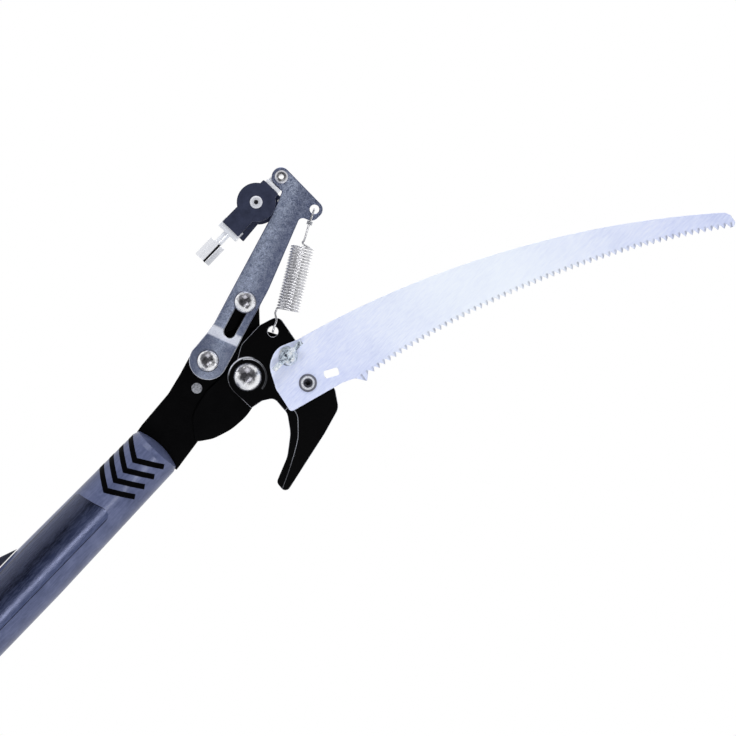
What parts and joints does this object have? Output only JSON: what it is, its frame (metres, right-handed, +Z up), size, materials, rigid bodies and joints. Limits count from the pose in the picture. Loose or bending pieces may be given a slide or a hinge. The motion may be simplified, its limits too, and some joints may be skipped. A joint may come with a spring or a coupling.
{
  "type": "tree pruner pole",
  "caption": "Telescopic pole pruner head: a slotted rope lever with pulley closes a bypass blade past a fixed hook, with a spring return and a curved saw bolted on top.",
  "frame": {"origin": "middle of the hand grip, on the pole axis", "axes": "+Z up the pole to the cutting head, +X to the hook and saw, -Y the front that carries the bolt heads and pulley"},
  "size_m": [0.2308, 0.042, 1.1187],
  "materials": {
    "socket_grey": "satin blue-grey",
    "chevron_black": "flat black",
    "panel_navy": "gloss",
    "zinc": "zinc plated",
    "bright": "bright plated",
    "steel": "plain steel",
    "black_plate": "black coat",
    "saw_steel": "polished pale steel",
    "cheek": "satin dark",
    "sheave_white": "natural nylon",
    "tube": "anodised",
    "dark_plastic": "satin",
    "grip": "soft matt"
  },
  "bodies": {
    "pole": {"lower_tube": "tube", "guide_bush": "dark_plastic", "lock_collar": "dark_plastic", "cam_pin": "steel", "hand_grip": "grip", "end_cap": "dark_plastic"},
    "cam": {"cam_lever": "dark_plastic"},
    "head": {"socket": "socket_grey", "chevron_inlays": "chevron_black", "gloss_panel": "panel_navy", "socket_screws": "steel", "upper_tube": "tube", "tube_glide": "dark_plastic", "back_plate": "black_plate", "hook_plate": "black_plate", "tang_rivet": "steel", "saw_spacers": "steel", "pivot_bolt": "bright", "pivot_bush": "steel", "pivot_nut": "steel", "lever_bolt": "bright", "lever_spacer": "steel", "lever_nut": "steel", "saw_blade": "saw_steel", "saw_stud": "steel", "saw_pin": "bright"},
    "wing": {"wing_nut": "bright"},
    "blade": {"cutting_blade": "black_plate"},
    "lever": {"pull_lever": "zinc"},
    "slider": {"slot_bolt": "bright", "slot_collar": "steel"},
    "spring": {"return_spring": "steel"},
    "spring_end": {"spring_ring": "steel"},
    "block": {"front_cheek": "cheek", "rear_cheek": "cheek", "cheek_rivets": "steel", "sheave_axle": "bright", "pulley_yoke": "bright", "yoke_pin": "bright", "becket_block": "bright"},
    "wheel": {"sheave": "sheave_white"},
    "becket": {"becket_stud": "steel", "rope_ferrule": "bright"}
  },
  "joints": [
    {"name": "pole_extend", "type": "slide", "parent": "pole", "child": "head", "axis": [0, 0, 1], "range_m": [0, 0.4]},
    {"name": "cam_lever_open", "type": "hinge", "parent": "pole", "child": "cam", "pos_m": [-0.0252, 0, 0.4825], "axis": [0, -1, 0], "range_deg": [0, 95]},
    {"name": "wing_nut_turn", "type": "hinge", "parent": "head", "child": "wing", "pos_m": [0.0184, 0, 0.7676], "axis": [0, -1, 0], "continuous": true},
    {"name": "lever_pull", "type": "hinge", "parent": "head", "child": "lever", "pos_m": [-0.0148, 0, 0.7315], "axis": [0, -1, 0], "range_deg": [0, 100], "stiffness_Nm_per_rad": 1.5, "springref_deg": -28.65},
    {"name": "blade_close", "type": "hinge", "parent": "head", "child": "blade", "pos_m": [0.0095, 0, 0.7413], "axis": [0, -1, 0], "range_deg": [0, 70]},
    {"name": "slot_slide", "type": "slide", "parent": "lever", "child": "slider", "axis": [0.2756, 0, -0.9613], "range_m": [0, 0.02]},
    {"name": "spring_swing", "type": "hinge", "parent": "head", "child": "spring", "pos_m": [0.0012, 0, 0.7719], "axis": [0, -1, 0], "range_deg": [0, 100]},
    {"name": "spring_stretch", "type": "slide", "parent": "spring", "child": "spring_end", "axis": [-0.4231, 0, 0.9061], "range_m": [0, 0.07], "deforming": ["return_spring"]},
    {"name": "pulley_swing", "type": "hinge", "parent": "lever", "child": "block", "pos_m": [-0.06, -0.0081, 0.8432], "axis": [0, 1, 0], "range_deg": [-3, 110]},
    {"name": "sheave_spin", "type": "hinge", "parent": "block", "child": "wheel", "pos_m": [-0.06, -0.0081, 0.8214], "axis": [0, -1, 0], "continuous": true},
    {"name": "becket_swivel", "type": "hinge", "parent": "block", "child": "becket", "pos_m": [-0.06, -0.0081, 0.7988], "axis": [0, 0, 1], "continuous": true}
  ],
  "couplings": [
    {"joint": "blade_close", "follows": "lever_pull", "ratio": 0.7},
    {"joint": "slot_slide", "follows": "lever_pull", "m_per_rad": 0.011449},
    {"joint": "spring_swing", "follows": "lever_pull", "ratio": 0.96955},
    {"joint": "spring_stretch", "follows": "lever_pull", "m_per_rad": 0.038006}
  ]
}
